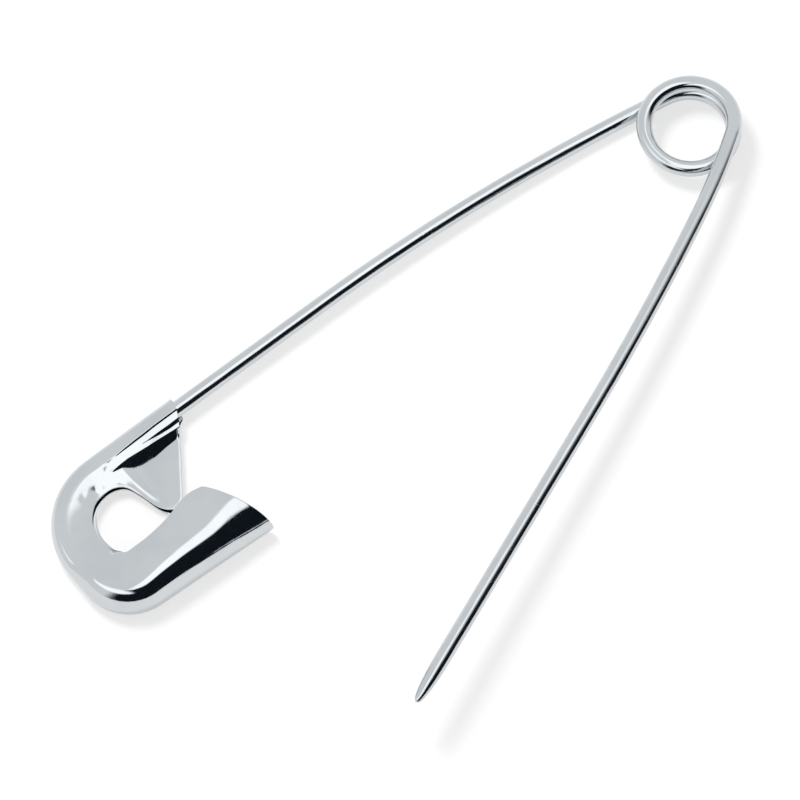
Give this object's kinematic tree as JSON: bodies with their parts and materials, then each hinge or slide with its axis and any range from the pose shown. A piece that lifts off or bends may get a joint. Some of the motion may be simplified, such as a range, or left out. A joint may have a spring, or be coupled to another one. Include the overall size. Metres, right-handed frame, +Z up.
{
  "type": "safety pin",
  "caption": "Large safety pin of bright spring wire, lying open: a bowed fixed leg, a coil spring, a swinging pointed arm and a folded sheet clasp that latches its point.",
  "frame": {"origin": "on the clasp's flat back, a quarter of the clasp's length in from the crimp's mouth and a quarter of its width in from the spine's axis", "axes": "+X along the fixed leg, from the coil towards the clasp's round end; +Y from the fixed leg towards the open arm; +Z up, out of the clasp's front"},
  "size_m": [0.1039, 0.0525, 0.0079],
  "materials": {
    "clasp_sheet": "bright nickel plate on thin pressed sheet",
    "spring_wire": "bright nickel plate on drawn spring wire"
  },
  "bodies": {
    "fixed_leg": {"clasp": "clasp_sheet", "spine_wire": "spring_wire", "spring_coil": "spring_wire"},
    "shank": {"arm_shank": "spring_wire"},
    "arm": {"pin_arm": "spring_wire"}
  },
  "joints": [
    {"name": "arm_swing", "type": "hinge", "parent": "fixed_leg", "child": "shank", "pos_m": [-0.07908, 0.00504, 0.0028], "axis": [0, 0, 1], "range_deg": [-30, 35], "stiffness_Nm_per_rad": 0.9, "deforming": ["spring_coil"]},
    {"name": "arm_lift", "type": "hinge", "parent": "shank", "child": "arm", "pos_m": [-0.0718, 0.01596, 0.00494], "axis": [0.4493, -0.8934, 0], "range_deg": [-3.7, 6], "stiffness_Nm_per_rad": 0.6}
  ]
}
